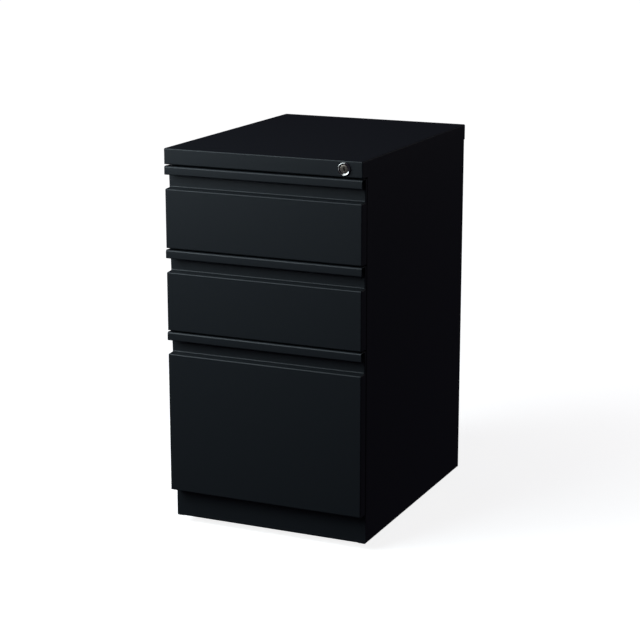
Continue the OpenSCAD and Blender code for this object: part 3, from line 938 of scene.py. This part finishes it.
class CABINET_OT_stage(bpy.types.Operator):
    """Lay the pale floor and set the soft lights and the camera"""

    bl_idname = "cabinet.stage"
    bl_label = "Stage"

    def execute(self, context):
        self.lay_floor(context)
        self.light_world(context)
        middle = (0.0, 0.0, 0.35)
        cool = (0.84, 0.95, 1.0)
        self.add_light("key", (-1.25, -1.8, 1.85), (0.0, -0.25, 0.3), 1.9, 34.0, cool)
        self.add_light("near", (-0.95, -1.0, 1.0), (-0.15, -0.25, 0.3), 0.6, 5.0, cool)
        self.add_light("overhead", (-0.5, -0.6, 2.6), middle, 1.8, 1.5, (0.92, 0.90, 1.0))
        self.add_light("side", (2.6, 0.6, 0.9), middle, 1.2, 0.8, (1.0, 0.95, 1.0))
        self.add_light("back", (2.2, 2.6, 1.6), middle, 1.6, 3.0, (1.0, 1.0, 1.0))
        self.set_camera(context)
        context.scene.view_settings.view_transform = "Standard"
        return {"FINISHED"}

    def lay_floor(self, context):
        """A wide pale floor that shows soft shadows and isn't mirrored in the coat. It glows with painted
        light, dimmed near the cabinet as a painted shade.
        """
        clear_selection()
        bpy.ops.mesh.primitive_plane_add(size=80, location=(0, 0, 0))
        floor = settle("floor")
        made = bpy.data.materials.new("floor")
        made.use_nodes = True
        w = Nodes(made.node_tree)
        grain = w.noise(w.place(), 3.0)
        colour = w.blend(grain, shade(context.scene.cabinet_colours.floor, 0.99), shade((1, 1, 1), 0.93))
        cloth = w.add("BsdfPrincipled", {"Base Color": colour, "Roughness": 0.9, "Specular IOR Level": 0.0})
        # Painted light: the floor glows of itself, dimmer near the cabinet as a painted shade round it and
        # full white far out.
        reach = w.add("VectorMath", {0: w.place()}, operation="LENGTH").outputs["Value"]
        floor_painted_glow = w.add("Emission", {"Color": (1, 1, 1, 1), "Strength": w.span(reach, 0.86, 1.0, 0.5, 2.4)})
        both = w.add("AddShader", {0: cloth.outputs["BSDF"], 1: floor_painted_glow.outputs["Emission"]})
        clear = w.add("BsdfTransparent")
        under = w.add("NewGeometry").outputs["Backfacing"]
        mix = w.add("MixShader", {0: under, 1: both.outputs["Shader"], 2: clear.outputs["BSDF"]})
        w.add("OutputMaterial", {"Surface": mix.outputs["Shader"]})
        floor.data.materials.append(made)
        floor.visible_glossy = False
        floor.visible_diffuse = False

    def light_world(self, context):
        """A pale backdrop whose light on the cabinet is dim."""
        world = bpy.data.worlds.new("studio")
        context.scene.world = world
        world.use_nodes = True
        w = Nodes(world.node_tree)
        seen = w.add("LightPath").outputs["Is Camera Ray"]
        colour = w.blend(seen, (0.020, 0.018, 0.027, 1.0), (1.0, 1.0, 1.0, 1.0))
        back = w.add("Background", {"Color": colour, "Strength": 1.0})
        w.add("OutputWorld", {"Surface": back.outputs["Background"]})

    def add_light(self, name, place, aim, size, power, colour):
        """One square softbox: its place and aim, its side in metres and its power in watts."""
        clear_selection()
        turn = (Vector(aim) - Vector(place)).to_track_quat("-Z", "Y").to_euler()
        bpy.ops.object.light_add(type="AREA", location=place, rotation=turn)
        lamp = bpy.context.object
        lamp.name = name
        lamp.data.shape = "SQUARE"
        lamp.data.size = size
        lamp.data.energy = power
        lamp.data.color = colour
        lamp.visible_camera = False

    def set_camera(self, context):
        """A long lens, to the right of the front and a little above, level from side to side."""
        clear_selection()
        azimuth, elevation = 24.188, 13.883
        turn = (math.radians(90 - elevation), 0, math.radians(azimuth))
        bpy.ops.object.camera_add(location=(1.3841, -3.0845, 1.1912), rotation=turn)
        camera = bpy.context.object
        camera.name = "camera"
        camera.data.lens = 103.9
        camera.data.sensor_width = 36
        context.scene.camera = camera


# ---- Add-on ----


BUILDERS = (
    CABINET_OT_stage,
    CABINET_OT_top_cap,
    CABINET_OT_side_panels,
    CABINET_OT_kick_plate,
    CABINET_OT_frame_parts,
    CABINET_OT_drawer_fronts,
    CABINET_OT_drawer_bodies,
    CABINET_OT_slides,
    CABINET_OT_lock,
    CABINET_OT_lock_gear,
    CABINET_OT_casters,
)


class CABINET_PT_pedestal(bpy.types.Panel):
    """The builders and the settings, in the 3D view's sidebar"""

    bl_idname = "CABINET_PT_pedestal"
    bl_label = "Drawer pedestal"
    bl_space_type = "VIEW_3D"
    bl_region_type = "UI"
    bl_category = "Pedestal"

    def draw(self, context):
        for settings in (context.scene.cabinet_sizes, context.scene.cabinet_colours):
            box = self.layout.box()
            for name in settings.__annotations__:
                box.prop(settings, name)
        for builder in BUILDERS:
            self.layout.operator(builder.bl_idname)


CLASSES = (CabinetSizes, CabinetColours, *BUILDERS, CABINET_PT_pedestal)


def register():
    for cls in CLASSES:
        bpy.utils.register_class(cls)
    bpy.types.Scene.cabinet_sizes = PointerProperty(type=CabinetSizes)
    bpy.types.Scene.cabinet_colours = PointerProperty(type=CabinetColours)


def unregister():
    del bpy.types.Scene.cabinet_colours
    del bpy.types.Scene.cabinet_sizes
    for cls in reversed(CLASSES):
        bpy.utils.unregister_class(cls)


def main():
    """Builds every piece in order."""
    register()
    for builder in BUILDERS:
        group, name = builder.bl_idname.split(".")
        getattr(getattr(bpy.ops, group), name)()
    clear_selection()


if __name__ == "__main__":
    main()
